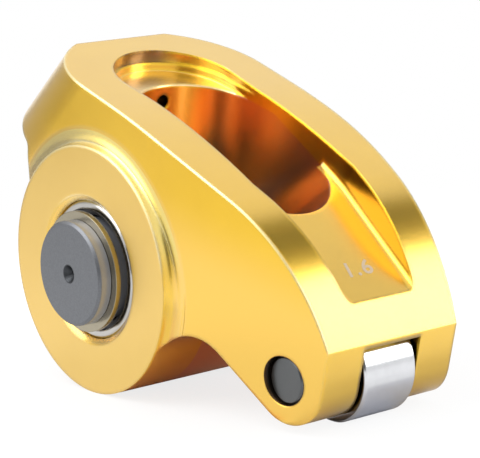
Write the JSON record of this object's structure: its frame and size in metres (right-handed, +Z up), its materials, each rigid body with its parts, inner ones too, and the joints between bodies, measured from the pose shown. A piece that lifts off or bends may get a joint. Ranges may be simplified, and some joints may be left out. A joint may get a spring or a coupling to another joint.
{
  "type": "rocker arm",
  "caption": "Gold anodised aluminium roller rocker arm for a stud mount, with a needle-bearing trunnion, a steel roller tip and a pushrod ball seat",
  "frame": {"origin": "middle of the trunnion axis, on the centre plane of the arm", "axes": "+Y along the trunnion axis, +X towards the roller, +Z up as the part lies on a level floor"},
  "size_m": [0.0646, 0.039, 0.0462],
  "materials": {
    "gold_anodised_aluminium": "satin gold anodised",
    "ground_steel": "ground",
    "oiled_spring_steel": "oiled",
    "bright_steel": "bright drawn",
    "plain_steel": "plain",
    "polished_steel": "polished",
    "dark_steel": "ground",
    "hardened_steel": "hardened",
    "bearing_steel": "polished"
  },
  "bodies": {
    "arm": {"rocker_body": "gold_anodised_aluminium", "bearing_cup_left": "bright_steel", "bearing_cup_right": "bright_steel", "roller_axle": "dark_steel", "pushrod_seat": "hardened_steel"},
    "pivot": {"trunnion": "ground_steel", "retaining_ring_left": "oiled_spring_steel", "retaining_ring_right": "oiled_spring_steel"},
    "needle_row_left": {"needle_cage_left": "plain_steel", "needle_left_01": "bearing_steel", "needle_left_02": "bearing_steel", "needle_left_03": "bearing_steel", "needle_left_04": "bearing_steel", "needle_left_05": "bearing_steel", "needle_left_06": "bearing_steel", "needle_left_07": "bearing_steel", "needle_left_08": "bearing_steel", "needle_left_09": "bearing_steel", "needle_left_10": "bearing_steel", "needle_left_11": "bearing_steel", "needle_left_12": "bearing_steel"},
    "needle_row_right": {"needle_cage_right": "plain_steel", "needle_right_01": "bearing_steel", "needle_right_02": "bearing_steel", "needle_right_03": "bearing_steel", "needle_right_04": "bearing_steel", "needle_right_05": "bearing_steel", "needle_right_06": "bearing_steel", "needle_right_07": "bearing_steel", "needle_right_08": "bearing_steel", "needle_right_09": "bearing_steel", "needle_right_10": "bearing_steel", "needle_right_11": "bearing_steel", "needle_right_12": "bearing_steel"},
    "roller": {"roller_tip": "polished_steel"}
  },
  "joints": [
    {"name": "trunnion_pivot", "type": "hinge", "parent": "arm", "child": "pivot", "pos_m": [0, 0, 0], "axis": [0, 1, 0], "range_deg": [-13, 13]},
    {"name": "needle_row_left_turn", "type": "hinge", "parent": "arm", "child": "needle_row_left", "pos_m": [0, 0, 0], "axis": [0, 1, 0], "range_deg": [-6, 6]},
    {"name": "needle_row_right_turn", "type": "hinge", "parent": "arm", "child": "needle_row_right", "pos_m": [0, 0, 0], "axis": [0, 1, 0], "range_deg": [-6, 6]},
    {"name": "roller_spin", "type": "hinge", "parent": "arm", "child": "roller", "pos_m": [0.03516, 0, -0.01015], "axis": [0, 1, 0], "continuous": true}
  ],
  "couplings": [
    {"joint": "needle_row_left_turn", "follows": "trunnion_pivot", "ratio": 0.4499},
    {"joint": "needle_row_right_turn", "follows": "trunnion_pivot", "ratio": 0.4499}
  ]
}
